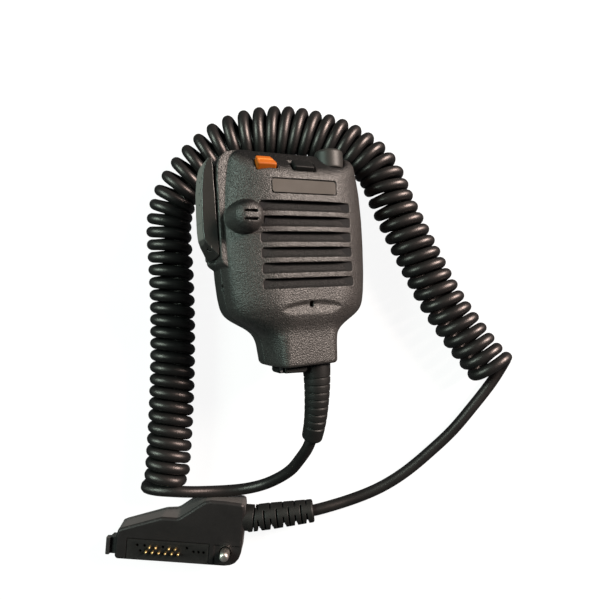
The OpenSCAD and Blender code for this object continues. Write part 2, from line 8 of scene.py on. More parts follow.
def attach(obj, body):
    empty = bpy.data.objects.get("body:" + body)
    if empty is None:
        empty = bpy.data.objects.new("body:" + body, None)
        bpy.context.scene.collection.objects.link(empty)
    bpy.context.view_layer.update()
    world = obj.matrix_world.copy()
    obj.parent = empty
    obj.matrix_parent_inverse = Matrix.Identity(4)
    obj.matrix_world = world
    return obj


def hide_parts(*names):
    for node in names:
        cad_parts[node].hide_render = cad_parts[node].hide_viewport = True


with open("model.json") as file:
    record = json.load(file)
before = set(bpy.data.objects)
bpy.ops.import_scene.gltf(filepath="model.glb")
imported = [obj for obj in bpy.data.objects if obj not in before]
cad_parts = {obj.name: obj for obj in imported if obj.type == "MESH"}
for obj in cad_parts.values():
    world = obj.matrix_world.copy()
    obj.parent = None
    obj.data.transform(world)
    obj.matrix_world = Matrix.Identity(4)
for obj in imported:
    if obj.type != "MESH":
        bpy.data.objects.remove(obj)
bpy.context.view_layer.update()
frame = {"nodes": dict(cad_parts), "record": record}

F32 = np.float32
MM = 0.001

# ------------------------------------------------------------------ placing
SITE = np.array([5.57, 21.9, 0.0])
FRONT_H, SHIFT_X = 45.96, 6.2
ROLL = math.radians(25.4)
CR, SR = math.cos(ROLL), math.sin(ROLL)
MIC_R = np.array([[CR, 0, SR], [0, 1, 0], [-SR, 0, CR]])
PA = math.radians(-7.5)
PLUG_R = np.array([[math.cos(PA), -math.sin(PA), 0], [math.sin(PA), math.cos(PA), 0], [0, 0, 1]])


def mic(p):
    p = np.atleast_2d(np.asarray(p, float)) + [SHIFT_X, 0, 0]
    return p @ MIC_R.T + SITE + [0, 0, FRONT_H]


def plug(p):
    return np.atleast_2d(np.asarray(p, float)) @ PLUG_R.T + SITE + [-64, -133, 0]


def table(p):
    return np.atleast_2d(np.asarray(p, float)) + SITE


S45 = math.sqrt(0.5)


def slope_to_mic(p, x0):
    p = np.atleast_2d(np.asarray(p, float))
    return np.c_[p[:, 0] + x0, 34.8 + S45 * (p[:, 1] + p[:, 2]), -3.3 + S45 * (p[:, 2] - p[:, 1])]


# ------------------------------------------------------------------ camera, floor, light
sc = bpy.context.scene
sc.view_settings.view_transform = "Standard"
sc.view_settings.look = "None"

cam_data = bpy.data.cameras.new("camera")
cam_data.sensor_width = 36
cam_data.lens = 28.8
cam_data.clip_start, cam_data.clip_end = 0.005, 10
cam = bpy.data.objects.new("camera", cam_data)
cam.location = (0.00595, -0.00069, 0.24266)
cam.rotation_euler = (0, 0, math.radians(-3.2))
sc.collection.objects.link(cam)
sc.camera = cam


def area(name, loc, aim, size, energy, colour):
    d = bpy.data.lights.new(name, "AREA")
    d.shape = "RECTANGLE"
    d.size, d.size_y = size
    d.energy = energy
    d.color = colour
    o = bpy.data.objects.new(name, d)
    o.location = loc
    o.rotation_euler = (Vector(aim) - Vector(loc)).to_track_quat("-Z", "Y").to_euler()
    sc.collection.objects.link(o)
    return o


area("light_right", (0.84, 0.41, 0.53), (0.02, 0.02, 0.03), (0.32, 0.32), 32.0, (1.0, 0.85, 0.76))
area("light_left", (-0.74, 0.28, 0.66), (-0.02, 0.02, 0.03), (0.40, 0.36), 11.0, (0.76, 1.0, 0.88))

world = bpy.data.worlds.new("world")
sc.world = world
world.use_nodes = True
bg = world.node_tree.nodes["Background"]
bg.inputs["Color"].default_value = (0.93, 0.96, 1.0, 1)
bg.inputs["Strength"].default_value = 0.055


# ------------------------------------------------------------------ node helpers
def new_mat(name):
    m = bpy.data.materials.new(name)
    m.use_nodes = True
    nt = m.node_tree
    nt.nodes.clear()
    out = nt.nodes.new("ShaderNodeOutputMaterial")
    bsdf = nt.nodes.new("ShaderNodeBsdfPrincipled")
    nt.links.new(bsdf.outputs[0], out.inputs[0])
    return m, nt, bsdf


def node(nt, kind, **kw):
    n = nt.nodes.new(kind)
    for k, v in kw.items():
        if k in n.inputs:
            n.inputs[k].default_value = v
        else:
            setattr(n, k, v)
    return n


def coords(nt, scale=1.0):
    tc = nt.nodes.new("ShaderNodeTexCoord")
    mp = nt.nodes.new("ShaderNodeMapping")
    mp.inputs["Scale"].default_value = (scale, scale, scale) if np.isscalar(scale) else scale
    nt.links.new(tc.outputs["Object"], mp.inputs["Vector"])
    return mp.outputs["Vector"]


def noise(nt, vec, scale, detail=2.0, rough=0.5):
    n = node(nt, "ShaderNodeTexNoise")
    n.inputs["Scale"].default_value = scale
    n.inputs["Detail"].default_value = detail
    n.inputs["Roughness"].default_value = rough
    nt.links.new(vec, n.inputs["Vector"])
    return n.outputs["Fac"]


def ramp(nt, fac, stops):
    r = nt.nodes.new("ShaderNodeValToRGB")
    cr = r.color_ramp
    while len(cr.elements) < len(stops):
        cr.elements.new(0.5)
    for e, (p, c) in zip(cr.elements, stops):
        e.position = p
        e.color = (*c, 1) if len(c) == 3 else c
    nt.links.new(fac, r.inputs["Fac"])
    return r.outputs["Color"]


def grey(v):
    return (v, v, v)


def bump(nt, bsdf, height, strength, distance, prev=None):
    b = nt.nodes.new("ShaderNodeBump")
    b.inputs["Strength"].default_value = strength
    b.inputs["Distance"].default_value = distance
    nt.links.new(height, b.inputs["Height"])
    if prev is not None:
        nt.links.new(prev, b.inputs["Normal"])
    nt.links.new(b.outputs["Normal"], bsdf.inputs["Normal"])
    return b.outputs["Normal"]


def edge_wear(nt, fac_from=0.52, fac_to=0.62):
    """Pale rubbing on convex edges, from the geometry's pointiness; plastic() breaks it up by noise."""
    g = nt.nodes.new("ShaderNodeNewGeometry")
    return ramp(nt, g.outputs["Pointiness"], [(fac_from, grey(0)), (fac_to, grey(1))])


def mix_col(nt, fac, a, b):
    m = nt.nodes.new("ShaderNodeMix")
    m.data_type = "RGBA"
    nt.links.new(fac, m.inputs[0])
    for sock, v in ((m.inputs[6], a), (m.inputs[7], b)):
        if isinstance(v, tuple):
            sock.default_value = (*v, 1)
        else:
            nt.links.new(v, sock)
    return m.outputs[2]


def math_node(nt, op, a, b):
    m = nt.nodes.new("ShaderNodeMath")
    m.operation = op
    for sock, v in ((m.inputs[0], a), (m.inputs[1], b)):
        if isinstance(v, (int, float)):
            sock.default_value = v
        else:
            nt.links.new(v, sock)
    return m.outputs[0]


def face_dot(nt, look):
    """How far a face looks along the direction look, from the object's own normals (look None: how far it stands upright)."""
    tc = nt.nodes.new("ShaderNodeTexCoord")
    if look is None:
        sep = nt.nodes.new("ShaderNodeSeparateXYZ")
        nt.links.new(tc.outputs["Normal"], sep.inputs[0])
        return math_node(nt, "SUBTRACT", 1.0, math_node(nt, "ABSOLUTE", sep.outputs[2], 0.0))
    d = nt.nodes.new("ShaderNodeVectorMath")
    d.operation = "DOT_PRODUCT"
    nt.links.new(tc.outputs["Normal"], d.inputs[0])
    d.inputs[1].default_value = look
    return d.outputs["Value"]


def plastic(name, col, col2, rough=(0.45, 0.6), grain=2200.0, grain_h=0.00012, spec=0.5, fine=None, wear=None, coat=0.0, pebble=False, painted_light_shade=None, tint=None, mottle=0.0):
    """Moulded plastic: mottled colour, stippled skin, smudged roughness, rubbed edges, and optionally painted light and
    shade: another base tone on faces turned one way.
    """
    m, nt, bsdf = new_mat(name)
    v = coords(nt)
    big = noise(nt, v, 90.0, 4.0, 0.6)
    base = ramp(nt, big, [(0.3, col), (0.7, col2)])
    if mottle:
        base = mix_col(nt, ramp(nt, noise(nt, v, mottle, 2.0, 0.6), [(0.38, grey(0)), (0.66, grey(1))]), base, tuple(2.0 * c for c in col2))
    if wear:
        w = math_node(nt, "MULTIPLY", edge_wear(nt), noise(nt, v, 700.0, 3.0, 0.6))
        base = mix_col(nt, w, base, wear)
    # Painted light and shade: faces turned along the given direction get another base tone, darker for painted shade or
    # paler for a painted reflection.
    if painted_light_shade:
        look, lo, hi, painted_tone, dull = painted_light_shade
        painted_mask = ramp(nt, face_dot(nt, look), [(lo, grey(0)), (hi, grey(1))])
        base = mix_col(nt, painted_mask, base, painted_tone)
    nt.links.new(base, bsdf.inputs["Base Color"])
    if tint:
        bsdf.inputs["Specular Tint"].default_value = (*tint, 1)
    smudge = noise(nt, v, 60.0, 5.0, 0.65)
    r = ramp(nt, smudge, [(0.25, grey(rough[0])), (0.75, grey(rough[1]))])
    if painted_light_shade and dull:
        r = mix_col(nt, painted_mask, r, grey(dull))
    nt.links.new(r, bsdf.inputs["Roughness"])
    bsdf.inputs["Specular IOR Level"].default_value = spec
    bsdf.inputs["Coat Weight"].default_value = coat
    bsdf.inputs["Coat Roughness"].default_value = 0.25
    if pebble:
        vo = node(nt, "ShaderNodeTexVoronoi", feature="SMOOTH_F1")
        vo.inputs["Scale"].default_value = grain
        vo.inputs["Smoothness"].default_value = 0.6
        nt.links.new(v, vo.inputs["Vector"])
        n1 = math_node(nt, "SUBTRACT", noise(nt, v, grain * 0.8, 2.0, 0.6), vo.outputs["Distance"])
    else:
        n1 = noise(nt, v, grain, 2.5, 0.6)
    prev = bump(nt, bsdf, n1, 1.0, grain_h)
    if fine:
        n2 = noise(nt, v, fine[0], 1.0, 0.5)
        bump(nt, bsdf, n2, 1.0, fine[1], prev)
    return m


def metal(name, col, rough=(0.18, 0.34), scratch=(400, 400, 4000), depth=0.00001):
    m, nt, bsdf = new_mat(name)
    bsdf.inputs["Metallic"].default_value = 1.0
    v = coords(nt)
    dull = noise(nt, v, 300.0, 4.0, 0.6)
    nt.links.new(ramp(nt, dull, [(0.3, tuple(c * 0.8 for c in col)), (0.7, col)]), bsdf.inputs["Base Color"])
    nt.links.new(ramp(nt, dull, [(0.3, grey(rough[1])), (0.7, grey(rough[0]))]), bsdf.inputs["Roughness"])
    s = noise(nt, coords(nt, scratch), 1.0, 3.0, 0.7)
    bump(nt, bsdf, s, 0.5, depth)
    return m


MATS = {}
# Case plastic: faces turned up towards +y (the top slope, the dome's upper flank) are painted near black, a painted
# shade.
MATS["case_plastic"] = plastic("case_plastic", (0.010, 0.0092, 0.0088), (0.016, 0.0145, 0.0138), (0.41, 0.49), 2100.0, 0.00017, 0.5, (4200.0, 0.00006), (0.034, 0.031, 0.029), pebble=True, mottle=1500.0,
                               painted_light_shade=((0.0, 1.0, 0.0), 0.3, 0.62, (0.0014, 0.0013, 0.0013), 0.0))
MATS["rear_plastic"] = plastic("rear_plastic", (0.012, 0.0115, 0.011), (0.019, 0.018, 0.017), (0.42, 0.54), 1700.0, 0.00022, 0.5, (4200.0, 0.00006), (0.026, 0.024, 0.022))
# Talk key plastic: the outer face, turned to the left, is painted pale grey, a painted reflection; it is also made
# rougher.
MATS["key_plastic"] = plastic("key_plastic", (0.012, 0.011, 0.010), (0.018, 0.016, 0.015), (0.30, 0.42), 2600.0, 0.00005, 0.5, None, (0.07, 0.065, 0.06),
                              painted_light_shade=((-0.95, 0.31, 0.0), 0.71, 0.82, (0.108, 0.1, 0.092), 0.7))
MATS["black_plastic"] = plastic("black_plastic", (0.004, 0.004, 0.004), (0.007, 0.007, 0.007), (0.46, 0.58), 2400.0, 0.00006, 0.14, None, (0.02, 0.02, 0.02))
MATS["knob_plastic"] = plastic("knob_plastic", (0.014, 0.013, 0.012), (0.020, 0.019, 0.018), (0.46, 0.56), 2600.0, 0.00005, 0.36, None, (0.08, 0.075, 0.07))
MATS["orange_plastic"] = plastic("orange_plastic", (0.25, 0.056, 0.0022), (0.30, 0.07, 0.0036), (0.5, 0.62), 2600.0, 0.00005, 0.18, None, (0.6, 0.2, 0.04))
MATS["cord_rubber"] = plastic("cord_rubber", (0.0045, 0.0045, 0.0048), (0.0085, 0.0082, 0.0082), (0.34, 0.44), 900.0, 0.00006, 0.46, (3600.0, 0.00003), tint=(1.0, 0.88, 0.86))
MATS["plug_rubber"] = plastic("plug_rubber", (0.0045, 0.0044, 0.0043), (0.0075, 0.0072, 0.007), (0.44, 0.56), 1800.0, 0.00008, 0.3, None, (0.012, 0.012, 0.012))
# Plug plastic: the upright walls are painted a paler grey, a painted reflection; they are also made rougher.
MATS["plug_plastic"] = plastic("plug_plastic", (0.0062, 0.006, 0.0062), (0.0092, 0.0088, 0.009), (0.42, 0.54), 2000.0, 0.00007, 0.3, None, (0.03, 0.03, 0.03),
                               painted_light_shade=(None, 0.6, 0.86, (0.056, 0.053, 0.052), 0.7), tint=(1.0, 0.9, 0.92))
MATS["seal_rubber"] = plastic("seal_rubber", (0.012, 0.012, 0.012), (0.02, 0.02, 0.02), (0.6, 0.75), 1800.0, 0.00006, 0.3)
MATS["nameplate"] = plastic("nameplate", (0.031, 0.026, 0.0215), (0.041, 0.0345, 0.029), (0.62, 0.72), 3000.0, 0.00003, 0.3)
MATS["cloth"] = plastic("cloth", (0.012, 0.012, 0.013), (0.02, 0.02, 0.02), (0.85, 0.95), 2500.0, 0.0002, 0.1)
MATS["cone"] = plastic("cone", (0.02, 0.02, 0.021), (0.03, 0.03, 0.03), (0.7, 0.85), 1800.0, 0.00008, 0.2)
MATS["board"] = plastic("board", (0.012, 0.09, 0.035), (0.018, 0.12, 0.05), (0.35, 0.5), 1500.0, 0.00003, 0.5)
# Slot floors: a darker, duller plastic than the case, painted shade in the slots.
MATS["slot_floor"] = plastic("slot_floor", (0.004, 0.0039, 0.004), (0.0075, 0.0072, 0.0072), (0.5, 0.62), 2100.0, 0.0003, 0.18, (4200.0, 0.00012), mottle=1500.0)
MATS["clip_plastic"] = plastic("clip_plastic", (0.012, 0.0115, 0.011), (0.019, 0.018, 0.0172), (0.42, 0.55), 1900.0, 0.00012, 0.45, (4200.0, 0.00005), (0.045, 0.042, 0.04))
# Slot end walls: near black, painted shade.
MATS["slot_wall"] = plastic("slot_wall", (0.0008, 0.0008, 0.0008), (0.0014, 0.0013, 0.0013), (0.6, 0.7), 2100.0, 0.0002, 0.04)
MATS["steel"] = metal("steel", (0.62, 0.61, 0.59))
MATS["dark_steel"] = metal("dark_steel", (0.20, 0.20, 0.205), (0.3, 0.5))
MATS["magnet"] = metal("magnet", (0.3, 0.3, 0.31), (0.3, 0.5))
MATS["gold"] = metal("gold", (0.95, 0.68, 0.30), (0.28, 0.44))
MATS["nickel"] = metal("nickel", (0.86, 0.81, 0.76), (0.3, 0.46))
MATS["key_rubber"] = MATS["black_plastic"]

# ------------------------------------------------------------------ floor
m, nt, bsdf = new_mat("floor")
v = coords(nt)
nt.links.new(ramp(nt, noise(nt, v, 25.0, 4.0, 0.6), [(0.3, (0.10, 0.10, 0.10)), (0.7, (0.12, 0.12, 0.12))]), bsdf.inputs["Base Color"])
bsdf.inputs["Roughness"].default_value = 0.9
bsdf.inputs["Specular IOR Level"].default_value = 0.1
away = nt.nodes.new("ShaderNodeVectorMath")
away.operation = "LENGTH"
nt.links.new(v, away.inputs[0])
nt.links.new(ramp(nt, away.outputs["Value"], [(0.19, grey(0.92)), (0.46, grey(0.5))]), bsdf.inputs["Emission Color"])
bsdf.inputs["Emission Strength"].default_value = 1.0
me = bpy.data.meshes.new("floor")
me.from_pydata([(-3, -3, -0.0006), (3, -3, -0.0006), (3, 3, -0.0006), (-3, 3, -0.0006)], [], [(0, 1, 2, 3)])
floor = bpy.data.objects.new("floor", me)
floor.data.materials.append(m)
sc.collection.objects.link(floor)
floor.visible_glossy = False


# ------------------------------------------------------------------ curves and meshes
def spline(P):
    """Natural cubic through the points, by chord length: (function of s, length)."""
    P = np.array(P, float)
    d = np.r_[0, np.cumsum(np.linalg.norm(np.diff(P, axis=0), axis=1))]
    k, h = len(P), np.diff(d)
    A, B = np.zeros((k, k)), np.zeros((k, P.shape[1]))
    A[0, 0] = A[-1, -1] = 1
    for i in range(1, k - 1):
        A[i, i - 1], A[i, i], A[i, i + 1] = h[i - 1], 2 * (h[i - 1] + h[i]), h[i]
        B[i] = 6 * ((P[i + 1] - P[i]) / h[i] - (P[i] - P[i - 1]) / h[i - 1])
    M = np.linalg.solve(A, B)

    def ev(s):
        s = np.clip(np.atleast_1d(np.asarray(s, float)), 0, d[-1])
        i = np.clip(np.searchsorted(d, s) - 1, 0, k - 2)
        a, b, hh = (d[i + 1] - s)[:, None], (s - d[i])[:, None], h[i][:, None]
        return (M[i] * a**3 + M[i + 1] * b**3) / (6 * hh) + (P[i] / hh - M[i] * hh / 6) * a + (P[i + 1] / hh - M[i + 1] * hh / 6) * b

    return ev, d[-1]


def pchip(T, x):
    """Smooth, never overshooting curve through a table of (x, y)."""
    T = np.array(T, float)
    xs, ys = T[:, 0], T[:, 1]
    h = np.diff(xs)
    dl = np.diff(ys) / h
    m = np.zeros(len(xs))
    for i in range(1, len(xs) - 1):
        if dl[i - 1] * dl[i] > 0:
            m[i] = 3 * (h[i - 1] + h[i]) / ((2 * h[i] + h[i - 1]) / dl[i - 1] + (h[i] + 2 * h[i - 1]) / dl[i])
    m[0], m[-1] = dl[0], dl[-1]
    x = np.clip(np.asarray(x, float), xs[0], xs[-1])
    i = np.clip(np.searchsorted(xs, x) - 1, 0, len(xs) - 2)
    t = (x - xs[i]) / h[i]
    return (2 * t**3 - 3 * t**2 + 1) * ys[i] + (t**3 - 2 * t**2 + t) * h[i] * m[i] + (3 * t**2 - 2 * t**3) * ys[i + 1] + (t**3 - t**2) * h[i] * m[i + 1]


def piece(name, verts_mm, faces, mat, body, slot, replaces=(), smooth=True):
    me = bpy.data.meshes.new(name)
    verts = np.ascontiguousarray(np.asarray(verts_mm, float) * MM, dtype=F32)
    if isinstance(faces, np.ndarray):
        n, k = faces.shape
        me.vertices.add(len(verts))
        me.vertices.foreach_set("co", verts.ravel())
        me.loops.add(n * k)
        me.loops.foreach_set("vertex_index", np.ascontiguousarray(faces, dtype=np.int32).ravel())
        me.polygons.add(n)
        me.polygons.foreach_set("loop_start", np.arange(0, n * k, k, dtype=np.int32))
        me.update(calc_edges=True)
    else:
        me.from_pydata([tuple(p) for p in verts.tolist()], [], faces)
        me.update()
    me.validate()
    if smooth:
        me.polygons.foreach_set("use_smooth", np.ones(len(me.polygons), dtype=bool))
    o = bpy.data.objects.new(name, me)
    me.materials.append(MATS[mat])
    sc.collection.objects.link(o)
    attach(o, body)
    if replaces:
        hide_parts(*replaces)
    return o


def tube_mesh(C, R, n=24, caps=True):
    """Swept tube round centre points C (rotation-minimising), radius R per point."""
    C = np.asarray(C, float)
    T = np.gradient(C, axis=0)
    T /= np.linalg.norm(T, axis=1)[:, None]
    up = np.array([0, 0, 1.0])
    N = np.zeros_like(C)
    a = np.cross(up, T[0])
    N[0] = a / np.linalg.norm(a)
    for i in range(1, len(C)):
        w = N[i - 1] - T[i] * (N[i - 1] @ T[i])
        N[i] = w / np.linalg.norm(w)
    B = np.cross(T, N)
    ang = np.linspace(0, 2 * math.pi, n, endpoint=False)
    ring = np.cos(ang)[None, :, None] * N[:, None, :] + np.sin(ang)[None, :, None] * B[:, None, :]
    V = C[:, None, :] + ring * np.asarray(R, float).reshape(-1, 1, 1)
    V = V.reshape(-1, 3)
    m = len(C)
    F = []
    for i in range(m - 1):
        for j in range(n):
            k = (j + 1) % n
            F.append((i * n + j, i * n + k, (i + 1) * n + k, (i + 1) * n + j))
    if caps:
        F.append(tuple(range(n - 1, -1, -1)))
        F.append(tuple(range((m - 1) * n, m * n)))
    return V, F


# ------------------------------------------------------------------ cord
COIL = [[-69.5, -111], [-68, -100], [-66, -84], [-64, -65], [-62.5, -46], [-61.5, -28], [-61, -10], [-61, 6], [-60.3, 20],
        [-56.5, 31], [-50, 40.5], [-42, 48.5], [-32, 55.5], [-20, 59.5], [-7, 60.6], [6, 58.8], [18, 55], [29, 49.5],
        [37.5, 42.5], [42.5, 35.5], [45.2, 28], [49, 17.5], [54.5, 4.5], [61, -10.5], [69, -27.5], [78, -42.5], [86.5, -55], [93.5, -64.5]]
TURN = [[0, 1.5], [0.5, 4.9], [1, 7.9], [2, 13.8], [5, 31], [10, 60], [15, 89], [20, 119.5], [24, 142.5], [28, 170], [32, 197.5],
        [36, 222], [40, 246.5], [44, 270], [48, 294.5], [52, 318.5], [56, 344.5], [60, 370]]
CORD_R = 2.65
AMP = 5.6
COIL_Z = AMP + CORD_R
LEAD_A = [[2.5, -84, 26.1], [0.3, -89.5, 24.4], [-3.5, -95.7, 20.8], [-8, -102, 16.2], [-14.5, -107.4, 11.6], [-22, -111.6, 7.6],
          [-31, -114.1, 5.4], [-41, -114.7, 5.2], [-51.5, -113.6, 7.8], [-58.5, -112.2, 10.6], [-65, -111.0, 12.0],
          [-71.5, -110.5, 11.4], [-77.2, -110.3, 9.2], [-80.4, -109.8, 6], [-79.4, -109.0, 3.4], [-74.5, -108.5, 2.66],
          [-69, -108.15, 2.8], [-64.6, -107.75, 4.4], [-62.3, -107.3, 7.4]]
LEAD_B = [[99.9, -57.9, 5.4], [99.3, -60.4, 3.5], [97.4, -63.8, 2.72], [94.2, -68.2, 2.7], [90.6, -72.6, 2.7], [82.2, -82, 2.7],
          [73.5, -91.2, 2.7], [62, -101, 2.7], [49, -110.7, 2.7], [35, -118.4, 2.7], [22, -122.8, 3.2], [11, -124.9, 5], [4.5, -125.9, 6],
          [0.5, -126.5, 6.2], [-6.5, -127.0, 6.2], [-14.8, -127.5, 6.2], [-26.7, -128.4, 6.2]]


def helix(t0, t1, per=32):
    k = (242.66 - COIL_Z) / (242.66 - 10.75)
    axis = np.array([0.38, -22.59])
    ev, _ = spline([axis + (np.array(c) - axis) * k for c in COIL])
    t = np.linspace(t0, t1, int(round((t1 - t0) * per)) + 1)
    s = pchip([[a, b * k] for a, b in TURN], t)
    c = ev(s)
    T = ev(s + 1e-3) - ev(np.maximum(s - 1e-3, 0))
    T /= np.linalg.norm(T, axis=1)[:, None]
    N = np.c_[-T[:, 1], T[:, 0]]
    th = 2 * math.pi * t
    rad = 8.2 + 0.9 * np.clip((t - 58.8) / 1.2, 0, 1) ** 2
    # the turns behind the case lie a little nearer to it
    near = 1.5 * np.exp(-(((c[:, 0] + 6) / 22) ** 4)) * (c[:, 1] > 40)
    c = c - near[:, None] * N
    rad = rad + near
    P = np.c_[c + (rad * np.cos(th))[:, None] * N, COIL_Z - AMP * np.sin(th)]
    lean = 0.04 + 0.13 * np.clip((-12 - c[:, 1]) / 40, 0, 1)
    P[:, 1] += lean * (P[:, 2] - COIL_Z)
    return P


ev, la = spline(LEAD_A)
A = ev(np.linspace(0, la, 90))[:-1]
H = helix(0.66, 60.0)
ev, lb = spline(LEAD_B)
B = ev(np.linspace(0, lb, 80))


def join(a, b, n=10):
    """Smooth link from the end of one run to the start of the next."""
    p0, p1 = a[-1], b[0]
    d0 = a[-1] - a[-2]
    d1 = b[1] - b[0]
    L = np.linalg.norm(p1 - p0)
    d0 = d0 / np.linalg.norm(d0) * L
    d1 = d1 / np.linalg.norm(d1) * L
    t = np.linspace(0, 1, n + 2)[1:-1, None]
    return (2 * t**3 - 3 * t**2 + 1) * p0 + (t**3 - 2 * t**2 + t) * d0 + (3 * t**2 - 2 * t**3) * p1 + (t**3 - t**2) * d1


CORD = table(np.vstack([A, join(A, H, 6), H, join(H, B, 6), B]))
cu = bpy.data.curves.new("cord", "CURVE")
cu.dimensions = "3D"
cu.bevel_depth = CORD_R * MM
cu.bevel_resolution = 6
cu.use_fill_caps = True
sp = cu.splines.new("POLY")
sp.points.add(len(CORD) - 1)
sp.points.foreach_set("co", np.c_[CORD * MM, np.ones(len(CORD))].astype(F32).ravel())
sp.use_smooth = True
cord = bpy.data.objects.new("cord", cu)
cu.materials.append(MATS["cord_rubber"])
sc.collection.objects.link(cord)
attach(cord, "case")
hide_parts("cord_lead_mic", "cord_coil_left", "cord_coil_top", "cord_coil_right", "cord_lead_plug")


# ------------------------------------------------------------------ solids from distance fields
def rmax(a, b, r):
    """Both: a round edge of radius r where the two surfaces meet."""
    return np.minimum(np.maximum(a, b), -r) + np.hypot(np.maximum(a + r, 0), np.maximum(b + r, 0))


def rmin(a, b, r):
    """Either: a fillet of radius r where the two surfaces meet."""
    return -rmax(-a, -b, r)


def less(a, b, r=0.0):
    return rmax(a, -b, r) if r else np.maximum(a, -b)


def slab(v, lo, hi):
    return np.maximum(lo - v, v - hi)


def block(x, y, z, lo, hi, r=0.0):
    q = [np.abs(v - (a + b) / 2) - (b - a) / 2 + r for v, a, b in zip((x, y, z), lo, hi)]
    out = np.sqrt(np.maximum(q[0], 0) ** 2 + np.maximum(q[1], 0) ** 2 + np.maximum(q[2], 0) ** 2)
    return out + np.minimum(np.maximum(np.maximum(q[0], q[1]), q[2]), 0) - r


def drum(a, b, h, c, r, lo, hi, rnd=0.0):
    """Cylinder along h, round c in (a, b)."""
    d = np.hypot(a - c[0], b - c[1]) - r
    s = slab(h, lo, hi)
    return rmax(d, s, rnd) if rnd else np.maximum(d, s)


def poly(x, y, P):
    """Signed distance to a closed polygon."""
    d, s = None, None
    n = len(P)
    for i in range(n):
        (ax, ay), (bx, by) = P[i], P[i - 1]
        ex, ey = bx - ax, by - ay
        wx, wy = x - ax, y - ay
        t = np.clip((wx * ex + wy * ey) / (ex * ex + ey * ey), 0, 1)
        q = (wx - ex * t) ** 2 + (wy - ey * t) ** 2
        d = q if d is None else np.minimum(d, q)
        c1, c2, c3 = y >= ay, y < by, ex * wy > ey * wx
        flip = (c1 & c2 & c3) | (~c1 & ~c2 & ~c3)
        s = flip if s is None else s ^ flip
    return np.where(s, -1.0, 1.0) * np.sqrt(d)


def axis(lo, hi, step, *fine):
    v, out = lo, [lo]
    while v < hi:
        v += min([f[2] for f in fine if f[0] <= v < f[1]] + [step])
        out.append(v)
    return np.array(out)


def nets(f, ax, ay, az):
    """Quads of the zero surface of f, by surface nets on a rectilinear grid."""
    shape = (len(ax), len(ay), len(az))
    D = np.empty(shape, F32)
    D[...] = f(ax[:, None, None], ay[None, :, None], az[None, None, :])
    S = D < 0
    c = np.zeros(tuple(n - 1 for n in shape), np.int8)
    for i in (0, 1):
        for j in (0, 1):
            for k in (0, 1):
                c += S[i:shape[0] - 1 + i, j:shape[1] - 1 + j, k:shape[2] - 1 + k]
    I, J, K = np.nonzero((c > 0) & (c < 8))
    idx = np.full(c.shape, -1, np.int32)
    idx[I, J, K] = np.arange(len(I))
    acc, cnt = np.zeros((len(I), 3)), np.zeros(len(I))
    corners = [(i, j, k) for i in (0, 1) for j in (0, 1) for k in (0, 1)]
    for a in corners:
        for d in range(3):
            if a[d]:
                continue
            b = tuple(1 if e == d else a[e] for e in range(3))
            va, vb = D[I + a[0], J + a[1], K + a[2]], D[I + b[0], J + b[1], K + b[2]]
            m = (va < 0) != (vb < 0)
            t = va[m] / (va[m] - vb[m])
            pa = np.c_[ax[I[m] + a[0]], ay[J[m] + a[1]], az[K[m] + a[2]]]
            pb = np.c_[ax[I[m] + b[0]], ay[J[m] + b[1]], az[K[m] + b[2]]]
            acc[m] += pa + (pb - pa) * t[:, None]
            cnt[m] += 1
    V = acc / cnt[:, None]
    F = []
    for d in range(3):
        e, g = (d + 1) % 3, (d + 2) % 3
        lo = [slice(None)] * 3
        hi = [slice(None)] * 3
        lo[d], hi[d] = slice(0, -1), slice(1, None)
        for q in (e, g):
            lo[q] = hi[q] = slice(1, -1)
        sa, sb = S[tuple(lo)], S[tuple(hi)]
        P = np.array(np.nonzero(sa != sb))
        out = sa[tuple(P)]
        P = P.T.copy()
        P[:, e] += 1
        P[:, g] += 1

        def cell(de, dg):
            Q = P.copy()
            Q[:, e] += de
            Q[:, g] += dg
            return idx[Q[:, 0], Q[:, 1], Q[:, 2]]

        quad = np.c_[cell(-1, -1), cell(0, -1), cell(0, 0), cell(-1, 0)]
        F.append(np.where(out[:, None], quad, quad[:, ::-1]))
    return V, np.vstack(F)


def lathe(profile, n=96):
    """Closed solid of revolution about the third axis: profile of (r, h)."""
    P = np.array(profile, float)
    ang = np.linspace(0, 2 * math.pi, n, endpoint=False)
    V = np.stack([P[:, None, 0] * np.cos(ang), P[:, None, 0] * np.sin(ang), np.repeat(P[:, 1:], n, 1)], 2).reshape(-1, 3)
    m = len(P)
    F = [(i * n + j, i * n + (j + 1) % n, (i + 1) * n + (j + 1) % n, (i + 1) * n + j) for i in range(m - 1) for j in range(n)]
    F.append(tuple(range(n - 1, -1, -1)))
    F.append(tuple(range((m - 1) * n, m * n)))
    return V, F


# ------------------------------------------------------------------ the case
YS = np.linspace(-62, 52, 1141)


def soft_table(T, sigma):
    v = np.interp(YS, *np.array(T, float).T)
    n = int(sigma * 40)
    k = np.exp(-0.5 * (np.arange(-n, n + 1) / (sigma * 10)) ** 2)
    return np.convolve(np.pad(v, n, mode="edge"), k / k.sum(), "valid")


T_W = soft_table([[-62, 14.7], [-49, 15.3], [-45, 15.8], [-41, 16.3], [-38, 17.2], [-36, 18.5], [-34, 21], [-32, 24.4], [-30, 27.5], [-28, 29.6],
                  [-25, 31], [-20, 31.9], [-12, 32.6], [0, 33], [12, 33], [24, 32.3], [31, 31.3], [36, 30.4], [41, 29.4], [52, 27.2]], 1.0)
T_P = soft_table([[-62, 12.2], [-37, 12.4], [-35, 13], [-33, 14.6], [-31, 16.8], [-29, 19.4], [-26, 22], [-22, 23.5], [52, 23.5]], 1.3)
T_F = soft_table([[-62, -2.7], [-37, -2.7], [-35, -2.5], [-33, -1.8], [-31, -0.9], [-29, -0.3], [-27, 0], [52, 0]], 1.2)
T_B = soft_table([[-62, -31], [-40, -31], [-35, -32.6], [-31, -34], [-27, -34.5], [52, -34.5]], 1.5)
T_WD = np.sqrt(1 + np.gradient(T_W, YS) ** 2)

